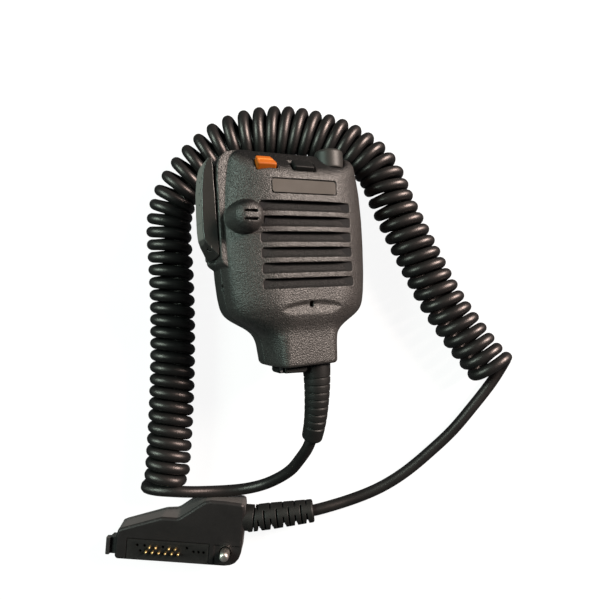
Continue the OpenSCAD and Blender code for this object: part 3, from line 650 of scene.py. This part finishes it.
FRAME_POLY = [[-26, -9.6], [-30.5, -8.6], [-32, -7.5], [-33.6, -6.0], [-34.45, -5.1], [-34.7, -4.8], [-35, -4.6], [-35, 28],
              [-34.6, 34], [-33.2, 37.6], [-30.6, 39.8], [-26, 40.8], [-20, 41], [-20, 36], [-26, 30]]
LIP_POLY = [[-26, -9.6], [-30.5, -8.9], [-32.2, -7.8], [-33.8, -6.6], [-34.5, -5.7], [-34.6, -5.1], [-34.2, -4.75], [-30, -4.7]]
SCREW_AT = [(-24, -20), (24, -20), (-25, 26), (26, 19)]
DOME = (-25.4, 12.0)
SLOT_Y = [18.25 - 6.34 * i for i in range(6)]


def case_skin(x, y, z):
    W, P, F, B, D = (np.interp(y, YS, t) for t in (T_W, T_P, T_F, T_B, T_WD))
    X = np.abs(x)
    side = (X - (W + 0.111 * np.clip(-12.5 - z, 0, 4.5) + 0.019 * np.clip(-17 - z, 0, 10.5))) / D
    run, drop = W - 1.1 - P, F + 9.0
    slope = ((X - P) * drop + (z - F) * run) / np.hypot(run, drop)
    EDGE = np.interp(y, [-60, -38, -28, 60], [2.5, 2.5, 9.0, 9.0])
    plan = rmax(rmax(side, y - 41.0, 6.0), -50.5 - y, 2.2)
    body = rmax(plan, B - z, 7.0)
    tops = rmax(rmax(z - F, slope, EDGE), (y - 31.0 + z) * S45, 2.6)
    return rmax(body, tops, 1.5)


def case_outer(x, y, z):
    f = rmax(poly(x, y, FRAME_POLY), slab(z, -27, -10), 0.5)
    # the lower end of the key's frame leans outwards with depth
    f = np.minimum(f, rmax(poly(x + 0.127 * (-10 - z), y, LIP_POLY), slab(z, -27, -10), 0.35))
    return rmin(case_skin(x, y, z), f, 0.35)


def holes(x, y, z):
    """Openings through either half: plunger, gland, jack."""
    f = np.hypot(y - 18, z + 14.5) - 2.0
    f = np.maximum(f, slab(x, -41, -26))
    f = np.minimum(f, drum(y, z, x, (18, -14.5), 3.3, -36.5, -34.4))
    f = np.minimum(f, drum(x, z, y, (6.2, -12), 4.5, -54, -44))
    return np.minimum(f, drum(x, z, y, (-7.4, -12), 3.55, -54, -44))


def slope_xyz(x, y, z, x0):
    a, b = y - 34.8, z + 3.3
    return x - x0, S45 * (a - b), S45 * (a + b)


def front_shell(x, y, z):
    skin = case_skin(x, y, z)
    f = case_outer(x, y, z)
    # scoop below the slots
    arc = np.hypot(x - 0.5, y + 71.3) - 48.5
    s = np.clip((0.4 - arc) / 2.6, 0, 1)
    dep = 1.35 * s * s * (3 - 2 * s) * np.clip(1 - (-22.8 - y) / 7.5, 0, 1)
    f = np.maximum(f, z + dep - 0.02)
    # slots: a floor that rises from the open upper edge, a sloped lower side
    for yt in SLOT_Y:
        plan = block(x, y, 0 * x, (-20.6, yt - 6, -1), (21.7, yt, 1), 1.4)
        low = (yt - 4.3 - y - 0.75 * skin + 0.25 * np.maximum(0, x - 20)) / 1.25
        f = less(f, rmax(rmax(plan, low, 0.5), (-2.3 + 0.25 * (yt - y) - skin) / 1.03, 0.3), 0.18)
    f = np.maximum(f, -(skin + 3.1))
    for yt in SLOT_Y:
        f = less(f, block(x, y, z, (-19.8, yt - 1.1, -8), (21.0, yt - 0.02, 1), 0.35))
    # nameplate recess, port
    f = less(f, block(x, y, z, (-15.5, 21.2, -0.8), (14.5, 27.3, 3), 0.6), 0.05)
    f = less(f, block(x, y, z, (-0.75, -25.6, -6), (0.75, -23.3, 2), 0.2), 0.15)
    # microphone dome
    rho = np.hypot(x - DOME[0], 0.96 * (y - DOME[1]))
    d = rmax(rho - (6.75 - 0.15 * (z + 5)), z - (3.35 - 0.016 * rho**2), 3.6)
    d = rmax(d, -11.5 - z, 0.1)
    for ys in (9.9, 13.1):
        cutx = np.hypot(np.maximum(np.abs(x + 26.0) - 2.3, 0), y - ys) - 0.44 - 0.04 * (x + 26.0)
        d = less(d, np.maximum(cutx, 0.9 - z), 0.1)
    d = np.maximum(d, -drum(x, y, z, DOME, 4, -12, 0.8))
    f = np.minimum(f, d)
    # hinge ear of the talk key
    ear = np.minimum(drum(x, y, z, (-37.4, 1), 1.3, -17.2, -14.2), block(x, y, z, (-37.4, -0.3, -17.2), (-34, 2.3, -14.2)))
    f = np.minimum(f, ear)
    # collar behind the knob
    f = np.minimum(f, block(x, y, z, (8.6, 32, -18.4), (25.4, 36.5, -6)))
    f = np.maximum(f, -holes(x, y, z))
    # button openings
    lx, ly, lz = slope_xyz(x, y, z, -16.4)
    f = less(f, block(lx, ly, lz, (-4.55, -3.8, -9), (4.55, 1.85, 6), 0.8), 0.06)
    lx, ly, lz = slope_xyz(x, y, z, 0.2)
    f = less(f, block(lx, ly, lz, (-5.0, -4.2, -9), (5.0, 2.0, 6), 1.0))
    f = less(f, block(lx, ly, lz, (-5.7, -4.6, -1.1), (5.7, 2.6, 6), 0.5), 0.15)
    # knob pocket, shaft hole
    f = less(f, drum(x, z, y, (17, -10), 6.8, 34.4, 60), 0.3)
    f = np.maximum(f, -drum(x, z, y, (17, -10), 3.3, 28, 40))
    f = less(f, drum(y, z, x, (-16, -18.4), 1.45, -38, -31.7), 0.15)
    return rmax(f, -17.97 - z, 0.04)


def rear_shell(x, y, z):
    skin = case_skin(x, y, z)
    f = np.maximum(case_outer(x, y, z), -(skin + 2.2))
    for p in SCREW_AT:
        post = np.maximum(drum(x, y, z, p, 3.6, -40, -18.2), skin + 0.5)
        f = np.minimum(f, post)
    for p in SCREW_AT:
        f = less(f, drum(x, y, z, p, 2.8, -50, -31.5), 0.3)
    f = np.maximum(f, -drum(x, y, z, (0, 10), 1.6, -50, -30))
    # shelf behind the talk key
    f = np.minimum(f, block(x, y, z, (-37.4, -4.2, -27), (-33, 36.5, -24.5), 0.6))
    f = np.minimum(f, block(x, y, z, (-36.7, -5.6, -27), (-33, -3.5, -24.6), 0.5))
    # shallow panel round the clip, and the small dimple on the talk key side
    f = less(f, block(x, y, z, (-19, -26, -36), (19, 36, -34.1), 3.0), 0.3)
    f = less(f, drum(y, z, x, (-16, -18.4), 1.45, -38, -31.7), 0.15)
    f = np.maximum(f, -holes(x, y, z))
    return rmax(f, z + 18.03, 0.04)


def sdf_piece(name, f, grid, place, *rest, painted_shade_faces=None, **kw):
    """The optional extra pair (materials, test of face centre and normal in the piece's own frame) gives other
    materials to the faces it picks; here these are painted shade.
    """
    V, F = nets(f, *grid)
    o = piece(name, place(V), F, *rest, **kw)
    if painted_shade_faces and len(o.data.polygons) == len(F):
        Q = V[F]
        n = np.cross(Q[:, 2] - Q[:, 0], Q[:, 3] - Q[:, 1])
        n /= np.linalg.norm(n, axis=1)[:, None] + 1e-12
        for extra in painted_shade_faces[0].split():
            o.data.materials.append(MATS[extra])
        o.data.polygons.foreach_set("material_index", painted_shade_faces[1](Q.mean(axis=1), n).astype(np.int32))
        o.data.update()
    return o


def painted_shade_in_slot(c, n):
    """Painted shade: 1 on the floors of the slots, which get a darker plastic, 2 on their end walls, which get near
    black.
    """
    m = np.zeros(len(c), bool)
    for yt in SLOT_Y:
        m |= (c[:, 1] < yt + 0.2) & (c[:, 1] > yt - 4.6)
    deep = case_skin(*c.T)
    m &= (np.abs(c[:, 0]) < 22.5) & (deep < -0.3) & (deep > -3.3)
    return np.where(m & ((n[:, 0] < -0.4) | (n[:, 1] < -0.5)), 2, np.where(m, 1, 0))


# The front shell's slot floors and end walls get the painted-shade materials.
sdf_piece("front_shell", front_shell,
          (axis(-39.13, 36.2, 0.45, (-34, -17.5, 0.26), (10, 26, 0.35)), axis(-52.57, 43.3, 0.45, (-27, 28.5, 0.26), (28.5, 42, 0.33)),
           axis(-19.03, 4.2, 0.45, (-3.3, 3.8, 0.21), (-12.2, -8.4, 0.25))),
          mic, "case_plastic", "case", "case_plastic", ("front_case",), painted_shade_faces=("slot_floor slot_wall", painted_shade_in_slot))
sdf_piece("rear_shell", rear_shell,
          (axis(-39.13, 36.2, 0.5), axis(-52.57, 43.3, 0.5, (-18.5, -13.5, 0.25)), axis(-36.53, -16.8, 0.45, (-21, -18.9, 0.22))),
          mic, "rear_plastic", "case", "case_plastic", ("rear_case",))

# ------------------------------------------------------------------ talk key
KEY = [[-36.14, 37.6], [-37.4, 37.2], [-38.8, 35], [-40, 31], [-40.8, 24], [-41.1, 15], [-41.1, 8], [-40.8, 4.4], [-40.1, 2.0], [-37.7, -3.4],
       [-37.2, -4.3], [-36.2, -4.3], [-35.6, -3.8], [-35.34, -3.0], [-35.34, 1]]
KEY_OUT = np.array([[-4.3, -37.2], [-3.4, -37.7], [2.0, -40.1], [4.4, -40.8], [8, -41.1], [15, -41.1], [24, -40.8], [31, -40], [35, -38.8], [37.2, -37.4]])


def talk_key(x, y, z):
    d = poly(x, y, KEY)
    f = rmax(d, -24 - z, 0.55)
    # the front falls away to the outer edge
    f = rmax(f, (z + 11.5 - 0.33 * (x + 36.1)) / 1.053, np.interp(x, [-37.2, -36.4], [0.4, 0.02]))
    # the lower end is cut off aslant
    f = rmax(f, (-0.784 * (x + 41.1) - 0.622 * (y - 3.9) + 0.15 * (z + 12.5)) / 1.01, 0.3)
    f = np.minimum(f, drum(y, z, x, (18, -14.5), 1.5, -36.4, -30.2))
    f = np.maximum(f, -drum(x, y, z, (-37.4, 1), 0.85, -20.4, -12.35))
    f = np.maximum(f, -np.minimum(drum(x, y, z, (-37.4, 1), 1.6, -17.5, -13.9), block(x, y, z, (-37.4, -0.6, -17.5), (-34, 2.6, -13.9))))
    for i in range(3):
        for s in range(2):
            yy = 29 - 4.7 * i - 1.2 * s
            xx = float(np.interp(yy, KEY_OUT[:, 0], KEY_OUT[:, 1]))
            f = less(f, np.sqrt((x - xx) ** 2 + (y - yy) ** 2 + (z + 14.4 + 2.6 * s) ** 2) - 0.48, 0.08)
    return f


# The key's inner side (faces turned towards +x) gets black plastic, painted shade along the gap to the frame.
sdf_piece("talk_key", talk_key, (axis(-42.03, -29.6, 0.3, (-42, -36, 0.21)), axis(-5.13, 38.4, 0.3, (17, 30.5, 0.22)), axis(-24.63, -10.9, 0.35, (-18, -11, 0.2))),
          mic, "key_plastic", "talk_key", "key_plastic", ("ptt_paddle",), painted_shade_faces=("black_plastic", lambda c, n: n[:, 0] > 0.45))


# ------------------------------------------------------------------ buttons
def button(w, y0, y1, top, dish, lift=0.0, slant=0.0):
    def f(x, y, z):
        crown = z - (top + lift * ((y - y0) / (y1 - y0) - 1) - dish * ((x / w) ** 2 * 4 + ((y - (y0 + y1) / 2) / (y1 - y0)) ** 2 * 4) * 0.5)
        d = block(x, y, 0 * z, (-w / 2, y0, -1), (w / 2, y1, 1), 0.9)
        if slant:
            d = rmax(d, ((x - w / 2) * (y1 - y0 - 1.2) + (y - y0 - 1.2) * slant) / math.hypot(slant, y1 - y0 - 1.2), 0.5)
        g = rmax(rmax(d, crown, 0.55), -3.2 - z, 0.1)
        g = np.minimum(g, block(x, y, z, (-w / 2 - 0.9, y0 - 0.2, -4), (w / 2 + 0.9, y1 + 0.6, -2.9), 0.2))
        return np.minimum(g, drum(x, y, z, (0, 0), 1.2, -5.4, -3.8))
    return f


sdf_piece("orange_cap", button(8.4, -3.4, 1.4, 1.6, 0.15, 0.7, 1.9), (axis(-5.53, 5.6, 0.2), axis(-4.43, 5.1, 0.2), axis(-5.83, 2.2, 0.2)),
          lambda V: mic(slope_to_mic(V, -16.4)), "orange_plastic", "orange_key", "orange_plastic", ("orange_button",))
sdf_piece("black_cap", button(9.2, -3.8, 1.6, 0.8, 0.1), (axis(-5.93, 6.0, 0.2), axis(-4.43, 5.1, 0.2), axis(-5.83, 1.5, 0.2)),
          lambda V: mic(slope_to_mic(V, 0.2)), "black_plastic", "black_key", "key_rubber", ("black_button",))

# ------------------------------------------------------------------ knob
ends = [math.radians(a) for a in range(0, 91, 10)]
prof = [(6.0, 34.8), (6.25, 34.9), (6.4, 35.3)] + [(6.4, h) for h in np.linspace(36, 41.4, 10)] + \
       [(4.7 + 1.7 * math.cos(a), 41.5 + 1.7 * math.sin(a)) for a in ends] + [(3.9, 43.18), (3.6, 42.8), (2.0, 42.6), (0.4, 42.55)]
V, F = lathe(prof, 96)
V = np.c_[17 - V[:, 0], V[:, 2], -10 + V[:, 1]]
piece("knob_cap", mic(V), F, "knob_plastic", "knob", "knob_plastic", ("volume_knob",))

# ------------------------------------------------------------------ gland on the case
RELIEF = [[6, -50.5, 29.8], [6, -56, 29.8], [5.8, -62, 29.5], [5.3, -68, 29], [4.6, -74, 28.2], [3.5, -80, 27.1], [2.1, -85.5, 25.7]]
ev, lr = spline(RELIEF)
s = np.linspace(0, lr, 420)
C = ev(s)
rad = 6.3 - 1.65 * s / lr
for k in range(8):
    s0 = 6.3 + 3.22 * k
    rad -= 0.5 * np.clip(1 - np.abs((s - s0) / 0.42), 0, 1) ** 0.5
    rad -= 0.05 * np.clip(1 - np.abs((s - s0) / 1.6), 0, 1)
tip = s > lr - 1.5
rad[tip] -= 1.2 * (1 - np.sqrt(np.maximum(0, 1 - ((s[tip] - lr + 1.5) / 1.5) ** 2)))
V, F = tube_mesh(C, rad, 48)
piece("gland", table(V), F, "plug_rubber", "case", "plug_rubber", ("mic_strain_relief",))

# ------------------------------------------------------------------ cap of the jack
CAP = [[-12.6, -53], [-2, -53.6], [-0.6, -52.6], [-0.6, -51.4], [-1.2, -50.8], [-12.6, -50.8]]


def jack_flap(x, y, z):
    f = rmax(poly(x, y, CAP), slab(z, -17, -7), 0.45)
    f = np.minimum(f, drum(x, y, z, (-12.6, -51.9), 1.1, -17, -7))
    f = np.maximum(f, -drum(x, y, z, (-12.6, -51.9), 0.65, -40, 20))
    for z0 in (-18.0, -8.8):
        f = np.maximum(f, -block(x, y, z, (-16, -54, z0), (-11, -50, z0 + 2.8)))
    # finger grooves on the outside
    for xx in (-4.2, -5.8, -7.4):
        f = less(f, np.maximum(np.hypot(x - xx, y + 53.75) - 0.5, slab(z, -15.5, -8.5)), 0.1)
    return f


sdf_piece("jack_flap_cap", jack_flap, (axis(-14.23, 0.2, 0.2), axis(-54.33, -50.2, 0.2), axis(-17.63, -6.3, 0.25)),
          mic, "black_plastic", "jack_flap", "key_rubber", ("jack_cap",))

# ------------------------------------------------------------------ plug
PLUG1 = [[-30.5, -11.4], [-30.1, -12.3], [-29.2, -12.85], [22.6, -12.6], [25.4, -12.1], [27.6, -11], [29.3, -8.8], [30.2, -6], [30.6, 3],
         [30.7, 15], [30.2, 17.2], [29, 18.0], [21.5, 18.5], [14, 18.5], [11.4, 18.0], [9.5, 16.8], [4.3, 12.8], [-0.6, 9.3], [-1.8, 8.85],
         [-9, 8.8], [-10, 8.5], [-28, 2.2], [-29.6, 1.2], [-30.5, -1.7]]
PLUG0 = [[-30.5, -11.4], [-30.1, -12.3], [-29.2, -12.85], [22.6, -12.6], [25.4, -12.1], [27.6, -11], [29.3, -8.8], [30.2, -6], [30.5, 3],
         [30.4, 14.5], [30.0, 16.8], [28.8, 17.6], [21.5, 18.0], [12, 18.2], [8.6, 18.2], [6.6, 17.4], [2.2, 14.1], [-2.6, 10.3], [-4.0, 9.6],
         [-9, 9.0], [-10.4, 8.6], [-28.6, 2.2], [-30.6, 1.2], [-31.0, -1.7]]


def plug_solid(x, y, z):
    d0, d1 = poly(x, y, PLUG0), poly(x, y, PLUG1)
    d = d0 + (d1 - d0) * np.clip(z / 11.0, 0, 1)
    f = rmax(d, -z, 1.0)
    f = rmax(f, z - 12.4, 0.25)
    # bevel along the upper rim
    return rmax(f, (d + z - 12.4 + 0.95) * S45, 0.2)


def plug_top(x, y, z):
    f = plug_solid(x, y, z)
    f = less(f, block(x, y, z, (-24.75, -12.15, 5.9), (14.85, -2.25, 30), 0.3), 0.15)
    f = less(f, block(x, y, z, (17.2, -40, 11.8), (60, -2.4, 30), 0.6), 0.1)
    f = less(f, drum(x, y, z, (22.6, -6.2), 3.0, -5, 30), 0.2)
    f = np.maximum(f, -block(x, y, z, (-20, -1, 2), (16, 3, 9)))
    f = np.maximum(f, -drum(x, y, z, (24.6, 12.6), 1.1, -5, 9))
    f = np.maximum(f, -drum(x, y, z, (-27, -4.8), 1.1, -5, 9))
    return rmax(f, 3.06 - z, 0.15)


def plug_back(x, y, z):
    f = rmax(plug_solid(x, y, z), z - 2.94, 0.15)
    f = less(f, drum(x, y, z, (22.6, -6.2), 5.4, -5, 9), 0.2)
    for p in ((-27, -4.8), (24.6, 12.6)):
        f = np.maximum(f, -drum(x, y, z, p, 1.1, -5, 9))
        f = less(f, drum(x, y, z, p, 2.1, -5, 1.4), 0.2)
    return less(f, block(x, y, z, (-20, -9, -5), (8, 1, 0.35), 1.0), 0.15)


grid = (axis(-31.93, 32.2, 0.3), axis(-14.53, 19.6, 0.3, (-13, -1.5, 0.22)), axis(2.53, 13.2, 0.28, (10.6, 12.9, 0.2)))
sdf_piece("plug_top", plug_top, grid, plug, "plug_plastic", "case", "plug_plastic", ("plug_body",))
sdf_piece("plug_back", plug_back, (grid[0], grid[1], axis(-0.73, 3.6, 0.25)), plug, "plug_plastic", "case", "plug_plastic", ("plug_cover",))

RA = math.radians(11.5)


def relief_place(V):
    """a along the gland, b across it, c up -> plug frame."""
    c, s = math.cos(RA), math.sin(RA)
    return plug(np.c_[28.5 + V[:, 0] * c - V[:, 1] * s, 7.85 + V[:, 0] * s + V[:, 1] * c, 6.2 + V[:, 2]])


def plug_gland(a, b, c):
    rho = np.hypot(b, c)
    u, v = 28.5 + a * math.cos(RA) - b * math.sin(RA), 7.85 + a * math.sin(RA) + b * math.cos(RA)
    f = rmax(np.hypot(v - 9.2, c) - 6.1, slab(u, 28.4, 34.7), 0.35)
    g = rmax(rho - (6.1 - 0.037 * np.maximum(0, a - 14)), slab(a, 3, 36.0), 0.9)
    g = less(g, np.maximum(np.abs(u - 35.05) - 0.3, 4.4 - rho), 0.1)
    for k, a0 in enumerate((8.95, 15.1, 21.3, 27.05, 32.7)):
        w = 0.85 - 0.07 * k
        g = less(g, np.maximum(np.abs(a - a0) - w - 0.12 * np.maximum(0, -b - 4), b + 3.0), 0.15)
        g = less(g, np.maximum(np.abs(a - a0) - 0.38, 4.9 - 0.12 * k - b), 0.12)
        g = less(g, np.maximum(np.maximum(np.abs(a - a0) - 0.36, b - 1.0), 4.5 - 0.1 * k - rho), 0.12)
    for k, a0 in enumerate((12.1, 18.2, 24.1, 30.0)):
        g = less(g, np.maximum(np.maximum(np.abs(a - a0) - 0.36, np.abs(b) - 4.6), 4.6 - 0.1 * k - rho), 0.12)
    f = np.minimum(f, g)
    return np.maximum(f, 2.4 - rho)


sdf_piece("plug_gland", plug_gland, (axis(-0.53, 37.2, 0.22), axis(-6.83, 8.2, 0.24), axis(-6.43, 6.5, 0.24)),
          relief_place, "plug_rubber", "case", "plug_rubber", ("plug_strain_relief",))

# fixing screw of the plug: head behind (its slot is not cut), waisted shank, smooth rounded end
prof = [(4.6, 0.3), (5.0, 0.7), (5.0, 2.3), (4.6, 2.7), (1.8, 2.75), (1.8, 9.2), (2.1, 9.3), (2.3, 9.5), (2.3, 11), (2.3, 13), (2.3, 14.6)]
prof += [(0.9 + 1.4 * math.cos(a), 15.1 + 1.55 * math.sin(a)) for a in ends] + [(0.3, 16.68)]
V, F = lathe([(0.3, 0.35)] + prof, 64)
piece("fixing_screw", plug(V + [22.6, -6.2, 0]), F, "nickel", "plug_thumbscrew", "nickel", ("plug_screw",))

# ------------------------------------------------------------------ finish on the CAD nodes that stay
SLOT = {p["node"]: p["material_slot"] for p in frame["record"]["subparts"]}
for name, o in frame["nodes"].items():
    if o.hide_render:
        continue
    mat = MATS["clip_plastic" if name in ("clip_boss", "clip_base", "clip_lever") else "dark_steel" if name == "jack_cap_pin" else SLOT[name]]
    if not o.material_slots:
        o.data.materials.append(mat)
    for ms in o.material_slots:
        ms.material = mat
    if name in ("plug_hook", "plug_contact_block", "clip_base", "clip_lever", "clip_boss", "nameplate", "cover_screws", "case_screws", "clip_screw"):
        bv = o.modifiers.new("edge", "BEVEL")
        bv.width = 0.00012 if name in ("nameplate", "plug_contact_block") else 0.00025
        bv.segments = 2
        bv.limit_method = "ANGLE"
        bv.angle_limit = math.radians(35)
